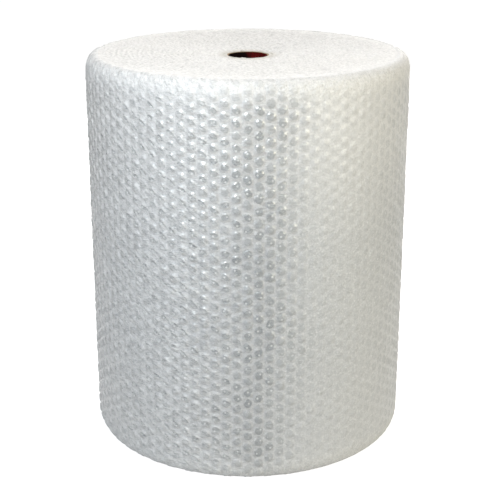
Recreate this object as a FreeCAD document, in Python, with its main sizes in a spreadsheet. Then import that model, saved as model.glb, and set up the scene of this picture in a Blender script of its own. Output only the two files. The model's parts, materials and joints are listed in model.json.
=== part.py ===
import FreeCAD, Part
import math
import os

import Sketcher

# Bubble wrap roll standing on its end, with +Z along its paper core.
# The origin is on the floor, at the middle of the lower end. Lengths are in millimetres.

DRIVING_SIZES = (
    ("roll_diameter", 504.0, "over the bubbles of the outer turn"),
    ("web_width", 610.0, "width of the film, which is the height of the standing roll"),
    ("core_bore", 60.0, "inner diameter of the paper core"),
    ("core_wall", 5.0, "wall of the paper core"),
    ("core_clearance", 0.1, "gap round the core, on the radius"),
    ("core_recess", 7.0, "how far the core stops short of each end of the film"),
    ("end_dish", 6.0, "how far each end of the film sinks towards the core"),
    ("turn_ridges", 11, "ridges on each end, each of them the edges of a few turns"),
    ("ridge_height", 3.0, "height of the ridges that the edges of the turns make"),
    ("rest_ring", 8.0, "width of the flat ring that each end can stand on"),
    ("rim_inset", 15.0, "how far the rounded rim reaches in from the side"),
    ("rim_drop", 22.0, "how far the rounded rim reaches down from the end"),
    ("bubble_columns", 98, "upright columns of bubbles round the outer turn"),
    ("bubble_width", 14.0, "width of a bubble"),
    ("bubble_top", 6.0, "width of a bubble's flattened top"),
    ("bubble_rise", 3.0, "how far a bubble stands out from the film"),
    ("plain_margin", 2.0, "plain film between the last bubble and the rim"),
    ("loose_end_rise", 3.0, "how far the film's loose end stands off the bubbles"),
    ("loose_end_width", 48.0, "width of the film that lifts at the loose end"),
    ("loose_end_angle", 58.0, "direction of the loose end, from +X towards +Y"),
    ("root_depth", 5.0, "how deep an outer form is rooted in the turns below it"),
)

# The rim bends over in two slopes whose knee lies on a quarter of an ellipse.
RIM_KNEE = 1 - math.sqrt(0.5)

HALF_WIDTH = "sizes.web_width / 2"
BUBBLE_RADIUS = "sizes.roll_diameter / 2"
FILM_RADIUS = f"({BUBBLE_RADIUS} - sizes.bubble_rise)"
ROOT_RADIUS = f"({FILM_RADIUS} - sizes.root_depth)"
CORE_RADIUS = "(sizes.core_bore / 2 + sizes.core_wall)"
FILM_BORE = f"({CORE_RADIUS} + sizes.core_clearance)"
RIM_RADIUS = f"({FILM_RADIUS} - sizes.rim_inset)"
RIDGED_RADIUS = f"({RIM_RADIUS} - sizes.rest_ring)"
BUBBLED_WIDTH = "sizes.web_width - 2 * sizes.rim_drop - 2 * sizes.plain_margin"
CORE_LENGTH = "sizes.web_width - 2 * sizes.core_recess"


def make_sheet(doc):
    """The driving sizes, one row each: name, value and meaning."""
    sheet = doc.addObject("Spreadsheet::Sheet", "sizes")
    for row, (name, value, meaning) in enumerate(DRIVING_SIZES, start=1):
        sheet.set(f"A{row}", name)
        sheet.set(f"B{row}", str(value))
        sheet.set(f"C{row}", meaning)
        sheet.setAlias(f"B{row}", name)
    doc.recompute()
    return sheet


def make_body(doc, name):
    """A body whose own origin lies at half the roll's height."""
    body = doc.addObject("PartDesign::Body", name)
    body.Label = name
    body.setExpression("Placement.Base.z", HALF_WIDTH)
    return body


def make_sketch(body, name, plane_role):
    plane = next(item for item in body.Origin.OriginFeatures if item.Role == plane_role)
    sketch = body.newObject("Sketcher::SketchObject", name)
    sketch.AttachmentSupport = [(plane, "")]
    sketch.MapMode = "FlatFace"
    return sketch


def fix_place(sketch, line, axis, value, formula):
    """Holds the end of a line at a formula's distance from the sketch's origin."""
    if formula == "0":
        sketch.addConstraint(Sketcher.Constraint("PointOnObject", line, 2, -1))
        return
    kind = "DistanceX" if axis == "x" else "DistanceY"
    number = sketch.addConstraint(Sketcher.Constraint(kind, -1, 1, line, 2, value))
    sketch.setExpression(f"Constraints[{number}]", formula)


def draw_outline(sketch, corners):
    """Draws a closed outline of straight lines whose corners are pairs of formulas."""
    places = [
        FreeCAD.Vector(sketch.evalExpression(across), sketch.evalExpression(up), 0)
        for across, up in corners
    ]
    lines = [
        sketch.addGeometry(Part.LineSegment(places[i - 1], places[i]), False)
        for i in range(len(places))
    ]
    for i, (across, up) in enumerate(corners):
        following = lines[(i + 1) % len(lines)]
        sketch.addConstraint(Sketcher.Constraint("Coincident", lines[i], 2, following, 1))
        fix_place(sketch, lines[i], "x", places[i].x, across)
        fix_place(sketch, lines[i], "y", places[i].y, up)


def draw_circle(sketch, radius):
    """Draws a circle round the sketch's origin, with a formula for its radius."""
    value = sketch.evalExpression(radius)
    circle = sketch.addGeometry(Part.Circle(FreeCAD.Vector(), FreeCAD.Vector(0, 0, 1), value))
    sketch.addConstraint(Sketcher.Constraint("Coincident", circle, 3, -1, 1))
    number = sketch.addConstraint(Sketcher.Constraint("Radius", circle, value))
    sketch.setExpression(f"Constraints[{number}]", radius)


def pad_both_ways(body, name, sketch, length):
    """A pad that reaches as far below its sketch as above it."""
    pad = body.newObject("PartDesign::Pad", name)
    pad.Profile = sketch
    pad.Midplane = True
    pad.setExpression("Length", length)
    return pad


def end_profile(turn_ridges):
    """Corners of the wound film's upper half, from the core out to the bubbled side."""
    corners = [(FILM_BORE, "0")]
    steps = 2 * turn_ridges
    for step in range(steps + 1):
        inward = f"(1 - {step} / {steps})"
        radius = f"{RIDGED_RADIUS} - ({RIDGED_RADIUS} - {FILM_BORE}) * {inward}"
        height = f"{HALF_WIDTH} - sizes.end_dish * {inward} ^ 2"
        if step % 2:
            height += " - sizes.ridge_height"
        corners.append((radius, height))
    knee_radius = f"{FILM_RADIUS} - {RIM_KNEE} * sizes.rim_inset"
    knee_height = f"{HALF_WIDTH} - {RIM_KNEE} * sizes.rim_drop"
    corners.append((RIM_RADIUS, HALF_WIDTH))
    corners.append((knee_radius, knee_height))
    corners.append((FILM_RADIUS, f"{HALF_WIDTH} - sizes.rim_drop"))
    corners.append((FILM_RADIUS, "0"))
    return corners


def add_windings(body, turn_ridges):
    """The turns of film as one solid, with ridged ends and rounded rims."""
    sketch = make_sketch(body, "winding_profile", "XZ_Plane")
    draw_outline(sketch, end_profile(turn_ridges))
    half = body.newObject("PartDesign::Revolution", "upper_windings")
    half.Profile = sketch
    half.ReferenceAxis = (sketch, ["V_Axis"])
    half.Angle = 360
    body.Document.recompute()
    both = body.newObject("PartDesign::Mirrored", "windings")
    both.Originals = [half]
    both.MirrorPlane = (sketch, ["H_Axis"])
    both.Refine = True
    body.Tip = both


def add_bubble_columns(body):
    """The outer turn's bubbles, one upright ridge for each column, the first at the front."""
    foot = f"-({FILM_RADIUS} - sizes.bubble_width ^ 2 / (4 * {FILM_RADIUS}))"
    side, top = "sizes.bubble_width / 2", "sizes.bubble_top / 2"
    sketch = make_sketch(body, "bubble_profile", "XY_Plane")
    draw_outline(
        sketch,
        [
            (f"-{top}", f"-{ROOT_RADIUS}"),
            (f"-{side}", foot),
            (f"-{top}", f"-{BUBBLE_RADIUS}"),
            (top, f"-{BUBBLE_RADIUS}"),
            (side, foot),
            (top, f"-{ROOT_RADIUS}"),
        ],
    )
    column = pad_both_ways(body, "bubble_column", sketch, BUBBLED_WIDTH)
    body.Document.recompute()
    columns = body.newObject("PartDesign::PolarPattern", "bubble_columns")
    columns.Originals = [column]
    columns.Axis = (sketch, ["N_Axis"])
    columns.Angle = 360
    columns.setExpression("Occurrences", "sizes.bubble_columns")
    body.Tip = columns


def add_loose_end(body):
    """The last width of film, which lifts off the bubbles up to its cut edge."""
    width = "sizes.loose_end_width"
    sketch = make_sketch(body, "loose_end_profile", "XY_Plane")
    sketch.AttachmentOffset = FreeCAD.Placement(FreeCAD.Vector(), FreeCAD.Vector(0, 0, 1), 1)
    sketch.setExpression("AttachmentOffset.Rotation.Angle", "sizes.loose_end_angle")
    draw_outline(
        sketch,
        [
            (ROOT_RADIUS, "0"),
            (f"{BUBBLE_RADIUS} + sizes.loose_end_rise", "0"),
            (f"sqrt(({BUBBLE_RADIUS}) ^ 2 - {width} ^ 2)", width),
            (f"sqrt({ROOT_RADIUS} ^ 2 - {width} ^ 2)", width),
        ],
    )
    body.Tip = pad_both_ways(body, "loose_end", sketch, BUBBLED_WIDTH)


def make_film_roll(doc, turn_ridges):
    body = make_body(doc, "film_roll")
    add_windings(body, turn_ridges)
    add_bubble_columns(body)
    add_loose_end(body)
    return body


def make_core_tube(doc):
    body = make_body(doc, "core_tube")
    sketch = make_sketch(body, "core_section", "XY_Plane")
    draw_circle(sketch, CORE_RADIUS)
    draw_circle(sketch, "sizes.core_bore / 2")
    body.Tip = pad_both_ways(body, "tube_wall", sketch, CORE_LENGTH)
    return body


def check(doc, bodies):
    """Stops before anything is written if a feature failed or a piece isn't one good solid."""
    for item in doc.Objects:
        if "Invalid" in item.State or "Error" in item.State:
            raise RuntimeError(f"{item.Label} could not be made: {item.State}")
    for body in bodies:
        if body.Shape.isNull() or not body.Shape.isValid() or len(body.Shape.Solids) != 1:
            raise RuntimeError(f"{body.Label} is not one valid solid")


def main():
    doc = FreeCAD.newDocument("bubble_wrap_roll")
    sheet = make_sheet(doc)
    bodies = [make_film_roll(doc, int(sheet.turn_ridges)), make_core_tube(doc)]
    doc.recompute()
    check(doc, bodies)
    os.makedirs("parts", exist_ok=True)
    for body in bodies:
        body.Shape.exportStep(f"parts/{body.Label}.step")
        print(body.Label, "volume in litres:", round(body.Shape.Volume / 1e6, 3))


main()
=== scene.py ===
import json
import math

import bpy
import numpy as np
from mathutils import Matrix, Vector, noise


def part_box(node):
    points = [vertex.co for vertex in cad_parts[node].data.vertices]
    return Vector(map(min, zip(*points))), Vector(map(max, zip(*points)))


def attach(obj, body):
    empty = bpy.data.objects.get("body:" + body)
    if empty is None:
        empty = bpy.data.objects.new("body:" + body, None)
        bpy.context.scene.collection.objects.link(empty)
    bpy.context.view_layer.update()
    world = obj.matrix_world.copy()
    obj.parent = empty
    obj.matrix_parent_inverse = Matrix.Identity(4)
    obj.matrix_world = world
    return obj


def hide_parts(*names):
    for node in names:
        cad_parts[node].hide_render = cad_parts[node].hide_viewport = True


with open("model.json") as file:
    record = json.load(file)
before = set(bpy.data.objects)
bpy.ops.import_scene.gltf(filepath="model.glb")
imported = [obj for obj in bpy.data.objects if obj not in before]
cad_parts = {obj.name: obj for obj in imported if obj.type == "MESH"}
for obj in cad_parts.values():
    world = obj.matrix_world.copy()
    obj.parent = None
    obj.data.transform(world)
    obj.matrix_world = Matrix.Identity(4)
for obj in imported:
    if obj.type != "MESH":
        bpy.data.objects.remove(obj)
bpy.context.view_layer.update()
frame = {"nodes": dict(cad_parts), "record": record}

# Sizes of the roll in metres, taken from the frame where it has them.
film_low, film_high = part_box("film_roll")
core_low, core_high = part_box("core_tube")
ROLL_RADIUS = -film_low.y
ROLL_HEIGHT = film_high.z
MID_HEIGHT = ROLL_HEIGHT / 2
CORE_RADIUS = core_high.x
CORE_TOP = core_high.z
CORE_BORE = frame["record"]["mounts"][0]["dims"]["r_mm"] / 1000

# The outer turn of film. Its bubbles lie in upright columns, every other one half a row higher.
COLUMNS = 98
COLUMN_ANGLE = 2 * math.pi / COLUMNS
BUBBLES_IN_COLUMN = 34
ROWS_BELOW = 2
ROWS = BUBBLES_IN_COLUMN + 6
ROW_PITCH = 0.018
LOWEST_BUBBLE = 0.0023
BUBBLE_RADIUS = 0.0070
BUBBLE_SHOULDER = 0.0011
BUBBLE_RISE = 0.0024
FILM_RADIUS = ROLL_RADIUS - BUBBLE_RISE
PATCH_SIDE = FILM_RADIUS * math.tan(COLUMN_ANGLE / 2)
PATCH_POINTS = 10
PATCH_ACROSS = (1, 1, 1 / 3, -1 / 3, -1, -1)
MERGE_DISTANCE = 0.0001
WELD_DISTANCE = 0.00005
FINE_WELD_DISTANCE = 0.00001

# How each bubble differs from the next, in parts of a bubble's full rise.
RISE_RANGE = (0.45, 0.95)
LEAST_RISE = -0.1
DENT_RANGE = (0.05, 0.55)
LEAN_SPREAD = 0.16
DIMPLE_PART = 0.2
DIMPLE_SIZE = 0.0045
RELIEF_TIGHT = 0.16
RELIEF_LOOSE = 0.66
CREASE_HEIGHT = 0.0006
CREASE_SIZE = 0.010
CREASE_SQUEEZE = (1, 1, 1.8)

# Where the outer turn is drawn tight and where it sags, in degrees round to the right of the front.
# Each pair says where a change starts and where it is complete.
TIGHT_STARTS = (6, 22)
TIGHT_EASES = (38, 63)
TIGHT_ENDS = (135, 105)
SAGS_ON_LEFT = (2, -22)
SAGS_AT_BACK = (135, 165)

# How tight the film is drawn there, and how much these places waver.
TIGHTEST = 0.85
EASED_PART = 0.35
WAVER_DEGREES = 6
WAVER_SIZE = 0.08

# Where the bubbles come to their full height and where they show in full, measured from the start
# of a rim towards the middle of the roll. Each pair says where that starts and where it is complete.
FULL_RELIEF_FROM_RIM = (-0.016, 0.014)
FULL_VIEW_FROM_RIM = (-0.010, 0.020)
RELIEF_ON_RIM = 0.50
VIEW_ON_RIM = 0.25

# The rim, where the outer turn bends over onto the ends along a quarter of an ellipse.
RIM_INSET = 0.015
RIM_DROP = 0.022
RIM_LENGTH = 0.0293
LIP_LENGTH = 0.004
LIP_DIP = 0.10
INNER_FACE_RADIUS = FILM_RADIUS - RIM_INSET - LIP_LENGTH

# The loose end of the film, at the back right, where the outer turn starts.
COLUMNS_TO_LOOSE_END = 57
LOOSE_END_COLUMNS = 3
LOOSE_END_LIFT = 0.0030
LOOSE_END_CURVE = 1.5
STEP_REACH = 0.0003
SMALL_ANGLE = 1e-6

# The ends of the roll, where the edges of the wound turns show. Two values together say how much
# the turns wander, crumple or fray, and how large those features are.
TURN_PITCH = 0.0079
CREST_POWER = 1.6
PILLOW_PART = 0.45
PILLOW_PITCH = 0.0162
WIDE_WANDER = (0.30, 0.017)
FINE_WANDER = (0.16, 0.006)
WIDE_CRUMPLE = (0.0008, 0.03)
FINE_CRUMPLE = (0.0010, 0.0042)
WIDE_FRAY = (0.0015, 0.009)
FINE_FRAY = (0.0007, 0.0035)
FRAY_SET_BACK = 0.0012
CALM_BAND = 0.03
SMOOTH_BAND = 0.012
LEFT_AT_LIP = 0.15
LIP_GAP = 0.0004
DISH_LIMIT = 1.1
TURN_DEPTH = 0.0010
END_DISH = 0.006
RINGS = 150
SPOKES = 600
SECTORS = 60
END_OUTER_RADIUS = INNER_FACE_RADIUS + 0.0005
END_BORE = CORE_RADIUS + 0.0004
FRINGE_RADIUS = CORE_BORE + 0.0012
FRINGE_THICKNESS = 0.0005
FLAP_HEIGHT = 0.0015
FLAP_SIZE = 0.007
FLAP_SHARE = 0.15
CORE_GAP = 0.0004
BORE_EDGE_GAP = 0.0003
SMOOTH_UP_TO_DEGREES = 60

# How far outside the bore the fraying and the flaps start, and where they are complete.
FRAY_BAND = (0.004, -0.002)
FLAP_BAND = (0.006, 0.001)
OVER_CORE_BAND = 0.001

# How far apart two seeds lie in the noise, and the seeds of what varies from bubble to bubble.
NOISE_STEPS = (3.17, 1.31, 2.23)
BUBBLE_SHAPE_SEED = 7
BUBBLE_LOOK_SEED = 5

# Colours.
FILM_LAND = (0.50, 0.51, 0.525, 1)
# The dark of the clear bubbles and of the dull grain, also used as painted shade in the dark strokes.
FILM_CLEAR_AND_SHADE = (0.12, 0.145, 0.16, 1)
# White of the painted highlights: sparkles, crease streaks, pale strokes and glints.
FILM_PAINTED_HIGHLIGHT = (0.93, 0.94, 0.94, 1)
FILM_END = (0.86, 0.845, 0.825, 1)
FILM_END_SHADE = (0.60, 0.595, 0.58, 1)
# Beige of the core seen through the film round the bore, partly painted shade there.
FILM_OVER_CORE_AND_SHADE = (0.50, 0.465, 0.40, 1)
CORE_INSIDE = (0.17, 0.007, 0.007, 1)
# The dark of the liner's fibres, and also the painted shade over one band of the liner.
CORE_INSIDE_DARK = (0.006, 0.002, 0.002, 1)
CORE_BOARD = (0.46, 0.33, 0.20, 1)
CORE_BOARD_DARK = (0.25, 0.17, 0.10, 1)
FLOOR_GREY = (0.6, 0.6, 0.6, 1)
WHITE = (1, 1, 1, 1)

# Noise in the materials: features to a metre, detail, roughness and distortion.
OUTLINE_NOISE = (190, 2, 0.5, 0)
GRAIN_NOISE = (340, 3, 0.65, 0)
FOLD_NOISE = (70, 2, 0.5, 1.5)
LINE_NOISE = (65, 3, 0.6, 1.5)
STROKE_NOISE = (190, 3, 0.6, 0.8)
CRUMPLE_NOISE = (150, 3, 0.6, 1.0)
WRINKLE_NOISE = (340, 3, 0.6, 0.8)
EDGE_GRAIN_NOISE = (260, 3, 0.6, 0)
EDGE_WRINKLE_NOISE = (240, 3, 0.6, 0)
FIBRE_NOISE = (500, 4, 0.7, 0)

# The outline of a bubble in the material, in which 1 is the bubble's own radius.
OUTLINE_BEND = 0.8
SLANT_BY_CHANCE = 0.30
SLANT_WHERE_SAGGED = 0.5
LEAST_FLATTENING = 0.9
SAGGED_FLATTENING = (0.6, 1.4)
WINDOW_EDGE = (1.0, 0.70)
WALL_EDGE = (1.10, 0.90)
# The painted glint on each bubble: how far it strays from the middle, its size, and on which bubbles it
# lies.
GLINT_REACH = 0.4
GLINT_EDGE = (0.07, 0.02)
GLINT_CHANCE = (0.30, 0.55)

# Each bubble has one number of its own. Waves of these lengths draw more numbers from it.
SLANT_WAVES = 37
GLINT_SIDE_WAVES = 53
GLINT_TOP_WAVES = 91

# Creases and strokes, and how the film pales towards the ends of the roll and, by painted light from
# above, towards its top.
LEVEL_SQUEEZE = (1, 1, 4.5)
LINE_EDGE = (0.24, 0.0)
STROKE_STEEPNESS = 0.30
STROKE_LENGTH = 0.28
PALER_FROM_MIDDLE = (0.10, MID_HEIGHT)
# Painted light from above: where the paler upper part starts and where it is complete.
PAINTED_LIGHT_FROM_HEIGHT = (0.36, ROLL_HEIGHT)
RIM_FROM_MIDDLE = (MID_HEIGHT - 0.040, MID_HEIGHT - 0.004)

# How strongly each feature colours the film. Two values are for the least and the most of it.
PALENESS_AT_ENDS = 0.20
# Painted light from above makes the upper part of the side paler.
PAINTED_LIGHT_AT_TOP = 0.50
SPECKLE_ON_RIM = 0.50
WINDOW_STRENGTH = (0.6, 1.0)
MOTTLE_STRENGTH = (0.4, 1.0)
DULL_STRENGTH = 0.22
# Painted sparkles: pale flecks of painted highlight in the grain.
PAINTED_SPARKLE_STRENGTH = 0.4
# Painted highlight streaks along the crease lines, least and most.
PAINTED_STREAK_STRENGTH = (0.12, 0.57)
# Pale strokes are painted highlight, dark strokes painted shade.
PAINTED_HIGHLIGHT_STROKE_STRENGTH = 0.55
PAINTED_SHADE_STROKE_STRENGTH = 0.30
# Painted glints on the bubbles.
PAINTED_GLINT_STRENGTH = 0.6

# Where the noise turns into a mottled, speckled or dull place, into a painted sparkle, or into a stroke
# of painted highlight or painted shade.
MOTTLE_RANGE = (0.36, 0.64)
SPECKLE_RANGE = (0.25, 0.65)
DULL_RANGE = (0.47, 0.30)
PAINTED_SPARKLE_RANGE = (0.53, 0.70)
PAINTED_HIGHLIGHT_STROKE_RANGE = (0.52, 0.66)
PAINTED_SHADE_STROKE_RANGE = (0.47, 0.33)
EDGE_GRAIN_RANGE = (0.3, 0.7)

# Relief in the materials, in parts of its full height.
RELIEF_HEIGHT = 0.001
WALL_RELIEF = 0.3
DENT_RELIEF = (1.1, 2.3)
FOLD_RELIEF = 0.9
LINE_RELIEF = 0.45
STROKE_RELIEF = 0.9
CRUMPLE_RELIEF = 2.2
RELIEF_WHERE_TIGHT = (0.10, 1.0)
WRINKLE_RELIEF = (1.0, 0.4)

# The gloss of the film, where it is tight and where it is loose.
GLOSS = (0.15, 0.95)

# The tint of the core in the cut edges of the turns round it, which is partly painted shade round the
# bore.
HALO_WIDTH = 0.020
HALO_STRENGTH = 0.9

# The core's paper. A band of painted shade winds up the inside of the tube, and its plies show on the
# cut ends.
SHADE_BAND_TURN = 4.89
SHADE_BAND_PITCH = -16.0
SHADE_BAND_EDGE = (-0.15, 0.15)
LINER_EDGE = (CORE_BORE + 0.0002, CORE_BORE + 0.0006)
FIBRE_SQUEEZE = (1, 1, 0.2)
FIBRE_RANGE = (0.3, 0.7)
FIBRE_RELIEF_STRENGTH = 0.4
FIBRE_RELIEF_HEIGHT = 0.0004
PLY_FREQUENCY = 9000.0
PLY_STRENGTH = 0.12

# The floor, and the light from all round. Both look white to the camera.
FLOOR_SIZE = 40
FLOOR_DROP = 0.0003
FLOOR_GLOW = 0.90
FLOOR_GLOW_IN_GLOSS = 0.5
LIGHT_ALL_ROUND = (0.20, 1.0)

# Lamps: name, place, aim, width and height, power, colour.
LAMPS = (
    ("rim_lamp", (-0.34, -0.88, 0.95), (-0.08, -0.25, 0.49), (0.45, 0.30), 5.0, (0.95, 0.98, 1.0)),
    ("left_lamp", (-0.95, -1.35, 1.10), (0, 0, 0.30), (0.7, 0.7), 3.6, (0.70, 0.87, 1.0)),
    ("sheen_lamp", (-0.62, -1.30, 0.24), (-0.05, -0.20, 0.47), (0.9, 0.26), 1.4, (0.92, 0.96, 1.0)),
    ("right_lamp", (1.30, -0.86, 0.70), (0, 0, 0.20), (0.9, 0.7), 11.4, (1.0, 0.94, 0.74)),
    ("top_lamp", (0.0, -0.35, 2.10), (0, 0, 0.45), (1.4, 1.2), 10.6, (1.0, 0.975, 0.945)),
    ("back_lamp", (0.3, 2.4, 1.6), (0, 0, 0.30), (2.0, 1.6), 18, (1.0, 0.97, 0.93)),
    ("low_back_lamp", (0.2, 2.2, 0.40), (0, 0, 0.30), (1.6, 0.6), 8, (1.0, 0.98, 0.95)),
)

# The camera, fitted to the roll's outline in the photograph.
CAMERA_PLACE = (0, -1.857, 0.915)
CAMERA_TILT = math.radians(90 - 18.77)
CAMERA_LENS = 86.3
CAMERA_SENSOR = 36
CAMERA_SHIFT = 0.0042


def deselect_all():
    for item in bpy.context.selected_objects:
        item.select_set(False)


def pick(item):
    """Makes one object the only selected one, and the active one."""
    deselect_all()
    item.select_set(True)
    bpy.context.view_layer.objects.active = item


def enter_edit(item, mode="FACE"):
    pick(item)
    bpy.ops.object.mode_set(mode="EDIT")
    bpy.ops.mesh.select_mode(type=mode)


def leave_edit():
    bpy.ops.object.mode_set(mode="OBJECT")


def select_points(item, chosen):
    """Selects the points of a mesh for which chosen is true, and nothing else."""
    mesh = item.data
    mesh.polygons.foreach_set("select", np.zeros(len(mesh.polygons), dtype=bool))
    mesh.edges.foreach_set("select", np.zeros(len(mesh.edges), dtype=bool))
    mesh.vertices.foreach_set("select", np.asarray(chosen, dtype=bool))


def select_edges(item, chosen):
    """Selects the edges of a mesh for which chosen is true, with their points."""
    points = np.zeros(len(item.data.vertices), dtype=bool)
    points[edge_ends(item)[chosen].ravel()] = True
    select_points(item, points)
    item.data.edges.foreach_set("select", np.asarray(chosen, dtype=bool))


def border_edges(item):
    """For each edge of a mesh, whether only one face meets it."""
    mesh = item.data
    loops = np.zeros(len(mesh.loops), dtype=int)
    mesh.loops.foreach_get("edge_index", loops)
    return np.bincount(loops, minlength=len(mesh.edges)) == 1


def edge_ends(item):
    """The numbers of the two points at the ends of each edge of a mesh."""
    ends = np.zeros(len(item.data.edges) * 2, dtype=int)
    item.data.edges.foreach_get("vertices", ends)
    return ends.reshape(-1, 2)


def bridge_edges(item, chosen):
    """Joins the two loops that the chosen edges make by a band of faces."""
    select_edges(item, chosen)
    enter_edit(item, "EDGE")
    bpy.ops.mesh.bridge_edge_loops()
    leave_edit()


def angles_of(places):
    """The direction of each point from the roll's axis, from +X towards +Y."""
    return np.arctan2(places[:, 1], places[:, 0])


def radii_of(places):
    return np.hypot(places[:, 0], places[:, 1])


def round_axis(radius, angle, height):
    """Points from their radii, their angles and their heights."""
    return np.stack([radius * np.cos(angle), radius * np.sin(angle), height], axis=1)


def grown_round_axis(places, factor):
    """Points taken nearer to the roll's axis or further from it."""
    return places * np.stack([factor, factor, np.ones(len(factor))], axis=1)


def half_turn_either_way(angle):
    """Angles brought between minus and plus half a turn."""
    return np.mod(angle + math.pi, 2 * math.pi) - math.pi


def points_of(item):
    places = np.zeros(len(item.data.vertices) * 3)
    item.data.vertices.foreach_get("co", places)
    return places.reshape(-1, 3)


def set_points(item, places):
    item.data.vertices.foreach_set("co", places.ravel())
    item.data.update()


def place_in_mesh(item):
    """Moves an object's place into its mesh, so that the object sits at the origin."""
    pick(item)
    bpy.ops.object.transform_apply(location=True, rotation=True, scale=True)


def copy_of(item, name, shift=(0, 0, 0)):
    """A copy with its own mesh, moved by a shift."""
    pick(item)
    bpy.ops.object.duplicate()
    twin = bpy.context.object
    twin.name = name
    bpy.ops.transform.translate(value=shift)
    place_in_mesh(twin)
    return twin


def join(items, name):
    deselect_all()
    for item in items:
        item.select_set(True)
    bpy.context.view_layer.objects.active = items[0]
    bpy.ops.object.join()
    whole = bpy.context.view_layer.objects.active
    whole.name = name
    return whole


def weld(item, distance=WELD_DISTANCE):
    enter_edit(item, "VERT")
    bpy.ops.mesh.select_all(action="SELECT")
    bpy.ops.mesh.remove_doubles(threshold=distance)
    leave_edit()


def face_outwards(item):
    enter_edit(item)
    bpy.ops.mesh.select_all(action="SELECT")
    bpy.ops.mesh.normals_make_consistent(inside=False)
    leave_edit()


def shade_smooth(item, angle=None):
    """Shades a mesh smooth, apart from its edges sharper than the angle in degrees if one is given."""
    pick(item)
    if angle is None:
        bpy.ops.object.shade_smooth()
    else:
        bpy.ops.object.shade_smooth_by_angle(angle=math.radians(angle))


def repeat_upwards(item, count, step):
    pick(item)
    array = item.modifiers.new("rows", "ARRAY")
    array.count = count
    array.use_relative_offset = False
    array.use_constant_offset = True
    array.constant_offset_displace = (0, 0, step)
    array.use_merge_vertices = True
    array.merge_threshold = MERGE_DISTANCE
    bpy.ops.object.modifier_apply(modifier=array.name)


def repeat_round(item, count, angle):
    """Repeats a mesh round the roll's axis, the first copy not welded to the last."""
    deselect_all()
    bpy.ops.object.empty_add(location=(0, 0, 0), rotation=(0, 0, angle))
    marker = bpy.context.object
    pick(item)
    array = item.modifiers.new("columns", "ARRAY")
    array.count = count
    array.use_relative_offset = False
    array.use_object_offset = True
    array.offset_object = marker
    array.use_merge_vertices = True
    array.merge_threshold = MERGE_DISTANCE
    bpy.ops.object.modifier_apply(modifier=array.name)
    bpy.data.objects.remove(marker)


def turn_mesh(item, angle):
    """Turns a mesh round the roll's axis."""
    pick(item)
    item.rotation_euler = (0, 0, angle)
    place_in_mesh(item)


def add_patch(name, height, bubbled):
    """A rectangle of the outer film, one column wide and one row high, with or without a bubble.

    Its border has ten points either way, placed so that it fits a neighbour half a row higher.
    """
    deselect_all()
    bpy.ops.mesh.primitive_circle_add(
        vertices=PATCH_POINTS,
        radius=BUBBLE_RADIUS,
        fill_type="NGON",
        location=(0, -FILM_RADIUS, height),
        rotation=(math.pi / 2, math.pi / 2, 0),
    )
    patch = bpy.context.object
    patch.name = name
    place_in_mesh(patch)
    enter_edit(patch)
    bpy.ops.mesh.select_all(action="SELECT")
    if bubbled:
        bpy.ops.mesh.inset(thickness=BUBBLE_SHOULDER, depth=0)
        bpy.ops.transform.translate(value=(0, -BUBBLE_RISE, 0))
    bpy.ops.mesh.poke()
    bpy.ops.mesh.select_all(action="SELECT")
    bpy.ops.mesh.region_to_loop()
    bpy.ops.mesh.extrude_edges_move()
    leave_edit()
    for point in patch.data.vertices:
        if not point.select:
            continue
        angle = math.atan2(point.co.z - height, point.co.x)
        step = round(abs(angle) / (2 * math.pi / PATCH_POINTS))
        up = 0 if step in (0, PATCH_POINTS // 2) else math.copysign(ROW_PITCH / 2, angle)
        point.co.x = PATCH_SIDE * PATCH_ACROSS[step]
        point.co.z = height + up
    return patch


def add_column():
    """One upright column of film, from below its lowest bubble to above its highest."""
    bubbles = add_patch("bubbles", LOWEST_BUBBLE, True)
    repeat_upwards(bubbles, BUBBLES_IN_COLUMN, ROW_PITCH)
    below = add_patch("below", LOWEST_BUBBLE - ROW_PITCH, False)
    above = add_patch("above", LOWEST_BUBBLE + ROW_PITCH * BUBBLES_IN_COLUMN, False)
    column = join([bubbles, below, above], "column")
    weld(column)
    return column


def trim_to_film(item):
    """Cuts a column to the width of the film, which reaches over both rims to the lips."""
    reach = RIM_LENGTH + LIP_LENGTH - RIM_DROP
    for height, upper in ((-reach, False), (ROLL_HEIGHT + reach, True)):
        enter_edit(item)
        bpy.ops.mesh.select_all(action="SELECT")
        bpy.ops.mesh.bisect(
            plane_co=(0, 0, height),
            plane_no=(0, 0, 1),
            clear_inner=not upper,
            clear_outer=upper,
        )
        leave_edit()


def lattice_of(places):
    """For points of the straight outer film: the column and row of the nearest bubble and its place."""
    angle = angles_of(places) + math.pi / 2
    column = np.round(angle / COLUMN_ANGLE).astype(int)
    half_row = np.where(column % 2 == 0, 0.0, 0.5)
    row = np.round((places[:, 2] - LOWEST_BUBBLE) / ROW_PITCH - half_row)
    height = LOWEST_BUBBLE + (row + half_row) * ROW_PITCH
    across = (angle - column * COLUMN_ANGLE) * FILM_RADIUS
    return column % COLUMNS, row.astype(int), across, places[:, 2] - height


def noise_at(places, size, seed):
    """Smooth noise between about -1 and 1 at each point, with features of the given size."""
    shift = Vector([seed * step for step in NOISE_STEPS])
    return np.array([noise.noise(Vector(place) / size + shift) for place in places])


def layered_noise(places, layer, seed):
    """Noise at each point for a layer, which is a pair: how strong it is and how large its features."""
    strength, size = layer
    return strength * noise_at(places, size, seed)


def between(values, start, end):
    """How far values have come from start to end, from 0 to 1. It may run downwards."""
    return np.clip((values - start) / (end - start), 0, 1)


def turned_from_front(places):
    """Degrees from the front round to the right, a little wavy, so that no change runs straight."""
    from_front = np.degrees(np.arctan2(places[:, 0], -places[:, 1]))
    return from_front + WAVER_DEGREES * noise_at(places, WAVER_SIZE, seed=11)


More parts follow.
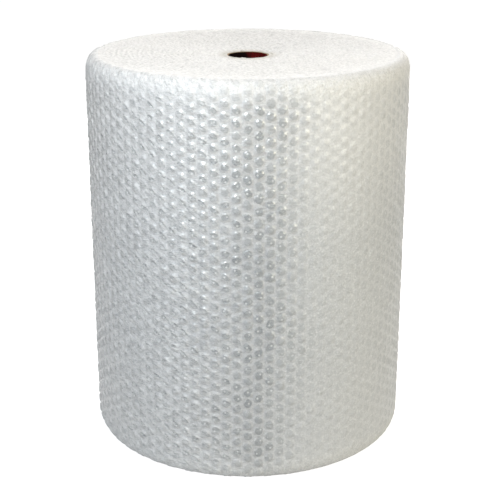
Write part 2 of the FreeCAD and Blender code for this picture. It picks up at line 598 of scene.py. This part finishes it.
def looseness_of(places):
    """How loosely the outer turn lies, from 0 to 1: its bubbles show less where it is drawn tight.

    It is tightest a little to the right of the front, less so on the right side, and loose elsewhere.
    """
    turned = turned_from_front(places)
    tight = between(turned, *TIGHT_STARTS) * between(turned, *TIGHT_ENDS)
    return 1 - TIGHTEST * tight * (1 - EASED_PART * between(turned, *TIGHT_EASES))


def sag_of(places):
    """How much the bubbles sag flat, from 0 to 1: most on the left side and the back."""
    turned = turned_from_front(places)
    return between(turned, *SAGS_ON_LEFT) + between(turned, *SAGS_AT_BACK)


def away_from_rims(places, start, end):
    """For points of the straight film: 0 over the rims, and 1 from a little way below them."""
    from_rim = MID_HEIGHT - RIM_DROP - np.abs(places[:, 2] - MID_HEIGHT)
    return between(from_rim, start, end)


def vary_bubbles(places):
    """Gives every bubble its own rise, lean and dents, and creases the film between them.

    Returns the new points, and how clearly the bubbles show at each of them.
    """
    chance = np.random.default_rng(BUBBLE_SHAPE_SEED)
    shape = (COLUMNS, ROWS)
    rise = chance.uniform(*RISE_RANGE, shape)
    dent = chance.uniform(*DENT_RANGE, shape)
    lean_across = chance.normal(0, LEAN_SPREAD, shape)
    lean_up = chance.normal(0, LEAN_SPREAD, shape)
    column, row, across, up = lattice_of(places)
    spot = (column, np.clip(row + ROWS_BELOW, 0, ROWS - 1))
    loose = looseness_of(places)
    radius = radii_of(places)
    height = radius * np.cos(across / FILM_RADIUS) - FILM_RADIUS
    raised = np.clip(height / BUBBLE_RISE, 0, 1)
    lean = 1 + (lean_across[spot] * across + lean_up[spot] * up) / BUBBLE_RADIUS
    dimples = DIMPLE_PART * noise_at(places, DIMPLE_SIZE, seed=1)
    middle = np.hypot(across, up) < BUBBLE_RADIUS / 4
    sunk = 1 - np.where(middle, dent[spot], 0)
    away = away_from_rims(places, *FULL_RELIEF_FROM_RIM)
    relief = (RELIEF_TIGHT + RELIEF_LOOSE * loose) * (RELIEF_ON_RIM + (1 - RELIEF_ON_RIM) * away)
    part = np.clip(rise[spot] * sunk * lean + dimples, LEAST_RISE, 1) * relief
    crease = CREASE_HEIGHT * relief * noise_at(places * CREASE_SQUEEZE, CREASE_SIZE, seed=2)
    new_radius = radius - height + BUBBLE_RISE * raised * part + crease
    moved = grown_round_axis(places, new_radius / radius)
    away = away_from_rims(places, *FULL_VIEW_FROM_RIM)
    return moved, loose * (VIEW_ON_RIM + (1 - VIEW_ON_RIM) * away)


def bend_rims(places):
    """Bends the straight film over both rims: its height becomes a length along the rim's curve."""
    angle = angles_of(places)
    thick = radii_of(places) - FILM_RADIUS
    from_middle = places[:, 2] - MID_HEIGHT
    side = np.sign(from_middle)
    beyond = np.abs(from_middle) - (MID_HEIGHT - RIM_DROP)
    bend = np.clip(beyond / RIM_LENGTH, 0, 1) * math.pi / 2
    lip = np.clip(beyond - RIM_LENGTH, 0, None)
    in_by = RIM_INSET * (1 - np.cos(bend)) + lip
    up_to = np.where(
        beyond > 0,
        MID_HEIGHT - RIM_DROP + RIM_DROP * np.sin(bend) - LIP_DIP * lip,
        np.abs(from_middle),
    )
    out, rise = RIM_DROP * np.cos(bend), RIM_INSET * np.sin(bend)
    size = np.hypot(out, rise)
    radius = FILM_RADIUS - in_by + thick * out / size
    height = MID_HEIGHT + side * (up_to + thick * rise / size)
    return round_axis(radius, angle, height)


def loose_end_angle():
    return (-COLUMNS_TO_LOOSE_END - 0.5) * COLUMN_ANGLE - math.pi / 2


def lift_loose_end(places):
    """Lifts the first few columns off the turn below, most at the cut edge of the film.

    The first half of the points is the first half of the columns.
    """
    turned = np.mod(angles_of(places) - loose_end_angle() + SMALL_ANGLE, 2 * math.pi)
    part = np.clip(1 - turned / (LOOSE_END_COLUMNS * COLUMN_ANGLE), 0, 1)
    starts = np.zeros(len(places), dtype=bool)
    starts[: len(places) // 2] = True
    lift = np.where(starts, LOOSE_END_LIFT * part**LOOSE_END_CURVE, 0)
    radius = radii_of(places)
    return grown_round_axis(places, (radius + lift) / radius)


def close_film(item):
    """Closes the outer turn: the step at the loose end, then the inner face between the lips."""
    turned = half_turn_either_way(angles_of(points_of(item)) - loose_end_angle())
    at_step = np.abs(turned) * FILM_RADIUS < STEP_REACH
    ends = edge_ends(item)
    bridge_edges(item, border_edges(item) & at_step[ends[:, 0]] & at_step[ends[:, 1]])
    bridge_edges(item, border_edges(item))


def keep_attribute(item, name, values):
    """Keeps one number for each point of a mesh, for its material to read."""
    layer = item.data.attributes.new(name, "FLOAT", "POINT")
    layer.data.foreach_set("value", values)


def keep_bubble_places(item):
    """Keeps for each corner of a face where it lies in its bubble, and a number of that bubble's own.

    It reads the straight film. The place is in bubble radii, across and upwards.
    """
    mesh = item.data
    chance = np.random.default_rng(BUBBLE_LOOK_SEED)
    own = chance.uniform(0, 1, (COLUMNS, ROWS))
    centres = np.zeros(len(mesh.polygons) * 3)
    mesh.polygons.foreach_get("center", centres)
    sizes = np.zeros(len(mesh.polygons), dtype=int)
    mesh.polygons.foreach_get("loop_total", sizes)
    corners = np.zeros(len(mesh.loops), dtype=int)
    mesh.loops.foreach_get("vertex_index", corners)
    centre = centres.reshape(-1, 3)
    column, row, across, up = lattice_of(centre)
    faces = np.repeat(np.arange(len(sizes)), sizes)
    corner = points_of(item)[corners]
    turned = half_turn_either_way(angles_of(corner) - angles_of(centre)[faces])
    in_bubble = np.zeros((len(corners), 3))
    in_bubble[:, 0] = (across[faces] + turned * FILM_RADIUS) / BUBBLE_RADIUS
    in_bubble[:, 1] = (up[faces] + corner[:, 2] - centre[faces, 2]) / BUBBLE_RADIUS
    in_bubble[:, 2] = own[column, np.clip(row + ROWS_BELOW, 0, ROWS - 1)][faces]
    layer = mesh.attributes.new("bubble_place", "FLOAT_VECTOR", "CORNER")
    layer.data.foreach_set("vector", in_bubble.ravel())


def add_outer_turn():
    """The outer turn of bubble film, which covers the side of the roll and bends over both rims."""
    lower = add_column()
    higher = copy_of(lower, "higher", shift=(0, 0, ROW_PITCH / 2))
    turn_mesh(lower, COLUMN_ANGLE)
    pair = join([higher, lower], "pair")
    weld(pair)
    trim_to_film(pair)
    turn_mesh(pair, -COLUMNS_TO_LOOSE_END * COLUMN_ANGLE)
    repeat_round(pair, COLUMNS // 2, 2 * COLUMN_ANGLE)
    pair.name = "outer_turn"
    keep_bubble_places(pair)
    sag = sag_of(points_of(pair))
    places, clearness = vary_bubbles(points_of(pair))
    places = lift_loose_end(bend_rims(places))
    places[:, 2] = np.clip(places[:, 2], 0, ROLL_HEIGHT)
    set_points(pair, places)
    keep_attribute(pair, "clearness", clearness)
    keep_attribute(pair, "sag", sag)
    close_film(pair)
    face_outwards(pair)
    shade_smooth(pair)
    return pair


def end_height(radius, angle, seed):
    """How high above the middle of the roll its end lies, with the ridges of the wound turns.

    The ridges and the crumpling fade towards the lip of the outer turn.
    """
    places = round_axis(radius, angle, 0 * radius)
    wander = layered_noise(places, WIDE_WANDER, seed) + layered_noise(places, FINE_WANDER, seed + 1)
    turns = radius / TURN_PITCH - angle / (2 * math.pi) + wander
    from_crest = np.abs(np.mod(turns, 1) - 0.5) * 2
    inside = between(END_OUTER_RADIUS - radius, 0, CALM_BAND)
    groove = TURN_DEPTH * (1 - from_crest**CREST_POWER) * (LEFT_AT_LIP + (1 - LEFT_AT_LIP) * inside)
    groove = groove + LIP_GAP * (1 - inside) ** 3
    bubbles = 0.5 + 0.5 * np.cos(radius * angle / PILLOW_PITCH * 2 * math.pi)
    pillow = PILLOW_PART * TURN_DEPTH * bubbles * (1 - from_crest) ** 2
    fine_crumple = layered_noise(places, FINE_CRUMPLE, seed + 2)
    wide_crumple = layered_noise(places, WIDE_CRUMPLE, seed + 3)
    smooth = between(END_OUTER_RADIUS - radius, 0, SMOOTH_BAND)
    crumple = (fine_crumple + wide_crumple) * (LEFT_AT_LIP + (1 - LEFT_AT_LIP) * smooth)
    inward = 1 - (radius - END_BORE) / (END_OUTER_RADIUS - END_BORE)
    dish = END_DISH * np.clip(inward, 0, DISH_LIMIT) ** 2
    return MID_HEIGHT - dish - groove + pillow + crumple


def add_end_turns(name, side, seed):
    """Half of the wound turns, from the middle of the roll to one of its ends.

    side is 1 for the upper end and -1 for the lower one. The film's fringe hangs over the core's end.
    """
    deselect_all()
    width = END_OUTER_RADIUS - FRINGE_RADIUS
    bpy.ops.mesh.primitive_plane_add(
        size=width,
        location=((END_OUTER_RADIUS + FRINGE_RADIUS) / 2, width / 2, ROLL_HEIGHT),
    )
    end = bpy.context.object
    end.name = name
    place_in_mesh(end)
    select_points(end, points_of(end)[:, 1] > width / 2)
    enter_edit(end, "VERT")
    bpy.ops.mesh.delete(type="VERT")
    bpy.ops.mesh.select_all(action="SELECT")
    bpy.ops.mesh.subdivide(number_cuts=RINGS // 2 - 1)
    bpy.ops.mesh.subdivide(number_cuts=1)
    bpy.ops.mesh.spin(
        steps=SPOKES // SECTORS,
        angle=2 * math.pi / SECTORS,
        center=(0, 0, 0),
        axis=(0, 0, 1),
    )
    leave_edit()
    repeat_round(end, SECTORS, 2 * math.pi / SECTORS)
    weld(end, FINE_WELD_DISTANCE)
    shape_end(end, seed)
    close_end_turns(end)
    places = points_of(end)
    places[:, 2] = np.clip(MID_HEIGHT + side * places[:, 2], 0, ROLL_HEIGHT)
    set_points(end, places)
    face_outwards(end)
    shade_smooth(end, SMOOTH_UP_TO_DEGREES)
    return end


def shape_end(end, seed):
    """Raises the edges of the turns out of a flat ring, and frays its inner border into a fringe."""
    places = points_of(end)
    radius = radii_of(places)
    angle = angles_of(places)
    fray = layered_noise(places, WIDE_FRAY, seed + 4) + layered_noise(places, FINE_FRAY, seed + 5)
    radius = radius + (fray + FRAY_SET_BACK) * between(radius - END_BORE, *FRAY_BAND)
    height = end_height(radius, angle, seed)
    flaps = FLAP_HEIGHT * np.clip(noise_at(places, FLAP_SIZE, seed + 6) + FLAP_SHARE, 0, 1)
    height = height + flaps * between(radius - END_BORE, *FLAP_BAND)
    over_core = CORE_TOP - MID_HEIGHT + FRINGE_THICKNESS + CORE_GAP
    at_bore = radius < END_BORE + OVER_CORE_BAND
    height = np.where(at_bore, np.maximum(height, over_core), height)
    set_points(end, round_axis(radius, angle, height))


def close_end_turns(end):
    """Gives the fringe its thickness, then takes the bore and the outer face down to the middle."""
    inner = radii_of(points_of(end))[edge_ends(end)[:, 0]] < END_OUTER_RADIUS / 2
    select_edges(end, border_edges(end) & inner)
    enter_edit(end, "EDGE")
    bpy.ops.mesh.extrude_edges_move(TRANSFORM_OT_translate={"value": (0, 0, -FRINGE_THICKNESS)})
    bpy.ops.mesh.extrude_edges_move()
    leave_edit()
    set_ring(end, END_BORE, CORE_TOP - MID_HEIGHT + BORE_EDGE_GAP)
    enter_edit(end, "EDGE")
    bpy.ops.mesh.extrude_edges_move()
    leave_edit()
    set_ring(end, END_BORE, 0)
    bridge_edges(end, border_edges(end))


def set_ring(item, radius, height):
    """Moves the selected points of a mesh onto a ring."""
    for point in item.data.vertices:
        if not point.select:
            continue
        size = math.hypot(point.co.x, point.co.y)
        point.co.x *= radius / size
        point.co.y *= radius / size
        point.co.z = height


def new_material(name):
    material = bpy.data.materials.new(name)
    material.use_nodes = True
    shader = material.node_tree.nodes["Principled BSDF"]
    return material, material.node_tree, shader


def fill(tree, socket, value):
    """Links another node's output to an input, or sets the input to a plain value."""
    if isinstance(value, bpy.types.NodeSocket):
        tree.links.new(value, socket)
    else:
        socket.default_value = value


def add_node(tree, kind, settings=(), **inputs):
    """Adds a node, sets its properties and its inputs, and returns it."""
    node = tree.nodes.new(kind)
    for key, value in dict(settings).items():
        setattr(node, key, value)
    for key, value in inputs.items():
        fill(tree, node.inputs[key.replace("_", " ")], value)
    return node


def math_node(tree, operation, first, second=0.0, third=0.0):
    node = tree.nodes.new("ShaderNodeMath")
    node.operation = operation
    for socket, value in zip(node.inputs, (first, second, third)):
        fill(tree, socket, value)
    return node.outputs[0]


def multiply(tree, first, second):
    return math_node(tree, "MULTIPLY", first, second)


def spread(tree, value, least, most):
    """Maps a value from 0..1 to least..most."""
    return math_node(tree, "MULTIPLY_ADD", value, most - least, least)


def own_chance(tree, own, waves):
    """A number between -1 and 1 for each bubble, drawn from the bubble's own one from 0 to 1."""
    return math_node(tree, "SINE", multiply(tree, own, waves))


def mix_colour(tree, factor, first, second):
    node = tree.nodes.new("ShaderNodeMix")
    node.data_type = "RGBA"
    sockets = (node.inputs[0], node.inputs[6], node.inputs[7])
    for socket, value in zip(sockets, (factor, first, second)):
        fill(tree, socket, value)
    return node.outputs[2]


def parts_of(tree, vector):
    """The X, Y and Z of a vector."""
    return add_node(tree, "ShaderNodeSeparateXYZ", Vector=vector).outputs


def length_of(tree, vector):
    node = add_node(tree, "ShaderNodeVectorMath", {"operation": "LENGTH"})
    tree.links.new(vector, node.inputs[0])
    return node.outputs["Value"]


def object_coordinates(tree):
    return add_node(tree, "ShaderNodeTexCoord").outputs["Object"]


def scaled_coordinates(tree, scale):
    mapping = add_node(tree, "ShaderNodeMapping", Vector=object_coordinates(tree))
    mapping.inputs["Scale"].default_value = scale
    return mapping.outputs[0]


def noise_node(tree, coordinates, scale, detail, roughness, distortion):
    node = add_node(
        tree,
        "ShaderNodeTexNoise",
        Vector=coordinates,
        Scale=scale,
        Detail=detail,
        Roughness=roughness,
        Distortion=distortion,
    )
    return node.outputs["Fac"]


def crossings(tree, coordinates, kind):
    """Noise folded at its middle value, so that it falls to 0 along winding lines."""
    value = noise_node(tree, coordinates, *kind)
    return math_node(tree, "ABSOLUTE", math_node(tree, "MULTIPLY_ADD", value, 2.0, -1.0))


def ramp(tree, value, low, high, smooth=False):
    """Maps a value from low..high to 0..1, held at both ends."""
    node = tree.nodes.new("ShaderNodeMapRange")
    node.interpolation_type = "SMOOTHSTEP" if smooth else "LINEAR"
    tree.links.new(value, node.inputs[0])
    node.inputs[1].default_value = low
    node.inputs[2].default_value = high
    return node.outputs[0]


def attribute(tree, name, output="Fac"):
    return add_node(tree, "ShaderNodeAttribute", {"attribute_name": name}).outputs[output]


def add_relief(tree, shader, relief, strength=1.0, height=RELIEF_HEIGHT):
    bump = add_node(tree, "ShaderNodeBump", Height=relief, Strength=strength, Distance=height)
    tree.links.new(bump.outputs[0], shader.inputs["Normal"])


def distance_from_bubble(tree, plain, place, own, sag):
    """How far a point lies from the middle of its bubble, with 1 at the bubble's outline.

    Each outline is bent and slants its own way, and it is flatter where the film sags.
    """
    bend = math_node(tree, "SUBTRACT", noise_node(tree, plain, *OUTLINE_NOISE), 0.5)
    flattening = multiply(tree, sag, spread(tree, own, *SAGGED_FLATTENING))
    flattening = math_node(tree, "ADD", flattening, LEAST_FLATTENING)
    slant = own_chance(tree, own, SLANT_WAVES)
    sagged_slant = multiply(tree, sag, SLANT_WHERE_SAGGED)
    slant = math_node(tree, "MULTIPLY_ADD", slant, SLANT_BY_CHANCE, sagged_slant)
    up = math_node(tree, "ADD", place["Y"], multiply(tree, slant, place["X"]))
    up = multiply(tree, up, flattening)
    square = math_node(tree, "MULTIPLY_ADD", up, up, multiply(tree, place["X"], place["X"]))
    return math_node(tree, "MULTIPLY_ADD", bend, OUTLINE_BEND, math_node(tree, "SQRT", square))


def painted_glints_on_bubbles(tree, place, own):
    """A painted glint: a small bright spot of painted highlight on most bubbles, each in a place of its
    own.
    """
    to_side = multiply(tree, own_chance(tree, own, GLINT_SIDE_WAVES), GLINT_REACH)
    to_top = multiply(tree, own_chance(tree, own, GLINT_TOP_WAVES), GLINT_REACH)
    beside = math_node(tree, "SUBTRACT", place["X"], to_side)
    above = math_node(tree, "SUBTRACT", place["Y"], to_top)
    square = math_node(tree, "MULTIPLY_ADD", above, above, multiply(tree, beside, beside))
    return multiply(tree, ramp(tree, square, *GLINT_EDGE), ramp(tree, own, *GLINT_CHANCE))


def slanting_strokes(tree, spot):
    """Noise drawn out along slanting lines round the side of the roll, steeper higher up."""
    forwards = multiply(tree, spot["Y"], -1.0)
    round_by = multiply(tree, math_node(tree, "ARCTAN2", spot["X"], forwards), FILM_RADIUS)
    steepness = math_node(tree, "ADD", spot["Z"], STROKE_STEEPNESS)
    across = math_node(tree, "MULTIPLY_ADD", round_by, steepness, spot["Z"])
    along = multiply(tree, math_node(tree, "SUBTRACT", round_by, spot["Z"]), STROKE_LENGTH)
    slanting = add_node(tree, "ShaderNodeCombineXYZ", X=across, Y=along)
    return noise_node(tree, slanting.outputs[0], *STROKE_NOISE)


def land_colour(tree, grain, up_the_roll, from_middle, rim):
    """The colour between the bubbles: paler towards the ends of the roll, paler still towards the top
    by painted light from above, speckled on its rims.
    """
    at_ends = multiply(tree, ramp(tree, from_middle, *PALER_FROM_MIDDLE), PALENESS_AT_ENDS)
    # Painted light: the side pales towards the top, as if lit from above.
    painted_top_light = multiply(tree, ramp(tree, up_the_roll, *PAINTED_LIGHT_FROM_HEIGHT), PAINTED_LIGHT_AT_TOP)
    land = mix_colour(tree, math_node(tree, "MAXIMUM", at_ends, painted_top_light), FILM_LAND, FILM_END)
    speckle = mix_colour(tree, ramp(tree, grain, *SPECKLE_RANGE), FILM_END_SHADE, FILM_END)
    return mix_colour(tree, multiply(tree, rim, SPECKLE_ON_RIM), land, speckle)


def film_colour(tree, land, distance, own, shown, sag, grain, line, stroke, painted_glint):
    """Lays the clear bubbles and the grain over the land, then the painted highlights (sparkles, crease
    streaks, pale strokes and glints) and the painted shade of the dark strokes.
    """
    mottle = spread(tree, ramp(tree, grain, *MOTTLE_RANGE), *MOTTLE_STRENGTH)
    window = ramp(tree, distance, *WINDOW_EDGE, smooth=True)
    window = multiply(tree, window, spread(tree, own, *WINDOW_STRENGTH))
    window = multiply(tree, window, multiply(tree, mottle, shown))
    dull = multiply(tree, ramp(tree, grain, *DULL_RANGE), DULL_STRENGTH)
    # Painted sparkles: the grain's brightest flecks are painted highlight.
    painted_sparkle = multiply(tree, ramp(tree, grain, *PAINTED_SPARKLE_RANGE), PAINTED_SPARKLE_STRENGTH)
    # Painted highlight streaks along the crease lines, strongest where the film sags, on the left and
    # the back; the lines are also real relief.
    painted_streak = multiply(tree, line, spread(tree, sag, *PAINTED_STREAK_STRENGTH))
    # Pale strokes are painted highlight and dark strokes painted shade, both only where the film sags;
    # the strokes are also real relief.
    highlight_stroke = multiply(tree, ramp(tree, stroke, *PAINTED_HIGHLIGHT_STROKE_RANGE), PAINTED_HIGHLIGHT_STROKE_STRENGTH)
    shade_stroke = multiply(tree, ramp(tree, stroke, *PAINTED_SHADE_STROKE_RANGE), PAINTED_SHADE_STROKE_STRENGTH)
    colour = land
    layers = (
        (window, FILM_CLEAR_AND_SHADE),
        (dull, FILM_CLEAR_AND_SHADE),
        (painted_sparkle, FILM_PAINTED_HIGHLIGHT),
        (painted_streak, FILM_PAINTED_HIGHLIGHT),
        (multiply(tree, highlight_stroke, sag), FILM_PAINTED_HIGHLIGHT),
        (multiply(tree, shade_stroke, sag), FILM_CLEAR_AND_SHADE),
        (multiply(tree, painted_glint, PAINTED_GLINT_STRENGTH), FILM_PAINTED_HIGHLIGHT),
    )
    for amount, layer_colour in layers:
        colour = mix_colour(tree, amount, colour, layer_colour)
    return colour


def film_relief(tree, plain, distance, own, shown, sag, fold, line, stroke, rim):
    """The walls and dents of the bubbles, with folds, creases, strokes and fine wrinkles."""
    wall = ramp(tree, distance, *WALL_EDGE, smooth=True)
    dent = math_node(tree, "MULTIPLY_ADD", multiply(tree, distance, distance), -1.0, 1.0)
    dent = math_node(tree, "MAXIMUM", dent, 0.0)
    dent = multiply(tree, dent, spread(tree, own, *DENT_RELIEF))
    relief = math_node(tree, "SUBTRACT", multiply(tree, wall, WALL_RELIEF), dent)
    relief = math_node(tree, "MULTIPLY_ADD", fold, FOLD_RELIEF, relief)
    relief = math_node(tree, "MULTIPLY_ADD", line, LINE_RELIEF, relief)
    sagged_stroke = multiply(tree, stroke, sag)
    relief = math_node(tree, "MULTIPLY_ADD", sagged_stroke, STROKE_RELIEF, relief)
    relief = multiply(tree, relief, spread(tree, shown, *RELIEF_WHERE_TIGHT))
    crumple = multiply(tree, noise_node(tree, plain, *CRUMPLE_NOISE), rim)
    relief = math_node(tree, "MULTIPLY_ADD", crumple, CRUMPLE_RELIEF, relief)
    wrinkle = noise_node(tree, plain, *WRINKLE_NOISE)
    return math_node(tree, "MULTIPLY_ADD", wrinkle, spread(tree, shown, *WRINKLE_RELIEF), relief)


def make_bubble_film():
    """Milky clear film: pale where many layers lie together, darker through the clear bubbles, with
    painted highlights and painted shade over it.
    """
    material, tree, shader = new_material("bubble_film")
    plain = scaled_coordinates(tree, (1, 1, 1))
    level = scaled_coordinates(tree, LEVEL_SQUEEZE)
    spot = parts_of(tree, object_coordinates(tree))
    shown = attribute(tree, "clearness")
    sag = attribute(tree, "sag")
    place = parts_of(tree, attribute(tree, "bubble_place", "Vector"))
    own = place["Z"]

    distance = distance_from_bubble(tree, plain, place, own, sag)
    # A painted glint, a painted highlight on most bubbles, only where the bubbles show.
    painted_glint = multiply(tree, painted_glints_on_bubbles(tree, place, own), shown)
    grain = noise_node(tree, plain, *GRAIN_NOISE)
    fold = crossings(tree, level, FOLD_NOISE)
    line = ramp(tree, crossings(tree, level, LINE_NOISE), *LINE_EDGE)
    stroke = slanting_strokes(tree, spot)
    from_middle = math_node(tree, "ABSOLUTE", math_node(tree, "SUBTRACT", spot["Z"], MID_HEIGHT))
    rim = ramp(tree, from_middle, *RIM_FROM_MIDDLE, smooth=True)

    land = land_colour(tree, grain, spot["Z"], from_middle, rim)
    colour = film_colour(tree, land, distance, own, shown, sag, grain, line, stroke, painted_glint)
    tree.links.new(colour, shader.inputs["Base Color"])
    relief = film_relief(tree, plain, distance, own, shown, sag, fold, line, stroke, rim)
    add_relief(tree, shader, relief)
    gloss = multiply(tree, spread(tree, shown, *GLOSS), math_node(tree, "SUBTRACT", 1.0, rim))
    tree.links.new(gloss, shader.inputs["Coat Weight"])
    shader.inputs["Coat Roughness"].default_value = 0.20
    shader.inputs["Coat IOR"].default_value = 1.8
    shader.inputs["Roughness"].default_value = 0.34
    shader.inputs["IOR"].default_value = 1.5
    return material


def make_film_edges():
    """The cut edges of the turns: milky, with a darker beige tint round the bore, partly where the core
    shows through them and partly painted shade.
    """
    material, tree, shader = new_material("film_edges")
    plain = scaled_coordinates(tree, (1, 1, 1))
    grain = ramp(tree, noise_node(tree, plain, *EDGE_GRAIN_NOISE), *EDGE_GRAIN_RANGE)
    colour = mix_colour(tree, grain, FILM_END_SHADE, FILM_END)
    from_axis = length_of(tree, scaled_coordinates(tree, (1, 1, 0)))
    # Darker beige towards the bore: partly the core showing through, partly painted shade.
    core_tint_and_shade = ramp(tree, from_axis, CORE_RADIUS + HALO_WIDTH, CORE_BORE, smooth=True)
    colour = mix_colour(tree, multiply(tree, core_tint_and_shade, HALO_STRENGTH), colour, FILM_OVER_CORE_AND_SHADE)
    tree.links.new(colour, shader.inputs["Base Color"])
    add_relief(tree, shader, noise_node(tree, plain, *EDGE_WRINKLE_NOISE))
    shader.inputs["Roughness"].default_value = 0.40
    shader.inputs["IOR"].default_value = 1.5
    return material


def make_core_paper():
    """Wound paperboard: dark red liner inside with a band of painted shade winding up it, tan board on
    the cut ends.
    """
    material, tree, shader = new_material("core_paper")
    spot = parts_of(tree, object_coordinates(tree))
    from_axis = length_of(tree, scaled_coordinates(tree, (1, 1, 0)))
    # Painted shade: a broad band of the liner, winding up the tube, is darkened as if it lay in shade.
    angle = math_node(tree, "ARCTAN2", spot["Y"], spot["X"])
    along = math_node(tree, "MULTIPLY_ADD", spot["Z"], SHADE_BAND_PITCH, angle)
    along = math_node(tree, "ADD", along, SHADE_BAND_TURN)
    painted_shade_band = ramp(tree, math_node(tree, "SINE", along), *SHADE_BAND_EDGE)
    fibres = noise_node(tree, scaled_coordinates(tree, FIBRE_SQUEEZE), *FIBRE_NOISE)
    liner = mix_colour(tree, ramp(tree, fibres, *FIBRE_RANGE), CORE_INSIDE_DARK, CORE_INSIDE)
    liner = mix_colour(tree, painted_shade_band, CORE_INSIDE_DARK, liner)
    plies = math_node(tree, "SINE", multiply(tree, from_axis, PLY_FREQUENCY))
    plies = math_node(tree, "MULTIPLY_ADD", plies, PLY_STRENGTH, PLY_STRENGTH)
    board = mix_colour(tree, plies, CORE_BOARD, CORE_BOARD_DARK)
    colour = mix_colour(tree, ramp(tree, from_axis, *LINER_EDGE), liner, board)
    tree.links.new(colour, shader.inputs["Base Color"])
    add_relief(tree, shader, fibres, FIBRE_RELIEF_STRENGTH, FIBRE_RELIEF_HEIGHT)
    shader.inputs["Roughness"].default_value = 0.70
    shader.inputs["Specular IOR Level"].default_value = 0.05
    return material


def give_material(item, material):
    item.data.materials.clear()
    item.data.materials.append(material)


def add_floor():
    """A plain pale floor, white to the camera apart from the roll's faint shadow."""
    deselect_all()
    bpy.ops.mesh.primitive_plane_add(size=FLOOR_SIZE, location=(0, 0, -FLOOR_DROP))
    floor = bpy.context.object
    floor.name = "floor"
    material, tree, shader = new_material("pale_floor")
    shader.inputs["Base Color"].default_value = FLOOR_GREY
    shader.inputs["Roughness"].default_value = 0.9
    shader.inputs["Specular IOR Level"].default_value = 0.1
    ray = add_node(tree, "ShaderNodeLightPath").outputs
    seen = math_node(tree, "MAXIMUM", ray["Is Camera Ray"], ray["Is Transmission Ray"])
    seen = math_node(tree, "MULTIPLY_ADD", ray["Is Glossy Ray"], FLOOR_GLOW_IN_GLOSS, seen)
    shader.inputs["Emission Color"].default_value = WHITE
    tree.links.new(multiply(tree, seen, FLOOR_GLOW), shader.inputs["Emission Strength"])
    give_material(floor, material)


def add_lamp(name, place, aim, size, power, colour):
    deselect_all()
    bpy.ops.object.light_add(type="AREA", location=place)
    lamp = bpy.context.object
    lamp.name = name
    lamp.data.shape = "RECTANGLE"
    lamp.data.size, lamp.data.size_y = size
    lamp.data.energy = power
    lamp.data.color = colour
    lamp.rotation_euler = (Vector(aim) - Vector(place)).to_track_quat("-Z", "Y").to_euler()
    lamp.visible_camera = False


def add_lights():
    """The lamps, and a pale world that is brighter to the camera than to the roll."""
    for lamp in LAMPS:
        add_lamp(*lamp)
    world = bpy.data.worlds.new("studio")
    bpy.context.scene.world = world
    world.use_nodes = True
    tree = world.node_tree
    tree.nodes.clear()
    ray = add_node(tree, "ShaderNodeLightPath").outputs
    seen = math_node(tree, "MAXIMUM", ray["Is Camera Ray"], ray["Is Glossy Ray"])
    seen = math_node(tree, "MAXIMUM", seen, ray["Is Transmission Ray"])
    strength = spread(tree, seen, *LIGHT_ALL_ROUND)
    glow = add_node(tree, "ShaderNodeBackground", Color=WHITE, Strength=strength)
    result = add_node(tree, "ShaderNodeOutputWorld")
    tree.links.new(glow.outputs[0], result.inputs["Surface"])


def add_camera():
    deselect_all()
    bpy.ops.object.camera_add(location=CAMERA_PLACE, rotation=(CAMERA_TILT, 0, 0))
    camera = bpy.context.object
    camera.data.lens = CAMERA_LENS
    camera.data.sensor_width = CAMERA_SENSOR
    camera.data.shift_x = CAMERA_SHIFT
    bpy.context.scene.camera = camera


outer_turn = add_outer_turn()
upper_turns = add_end_turns("upper_turns", side=1, seed=20)
lower_turns = add_end_turns("lower_turns", side=-1, seed=40)
give_material(outer_turn, make_bubble_film())
film_edges = make_film_edges()
for piece in (upper_turns, lower_turns):
    give_material(piece, film_edges)
for piece in (outer_turn, upper_turns, lower_turns):
    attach(piece, "root")
    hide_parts("film_roll")
give_material(frame["nodes"]["core_tube"], make_core_paper())

add_floor()
add_lights()
add_camera()
bpy.context.scene.view_settings.view_transform = "Standard"
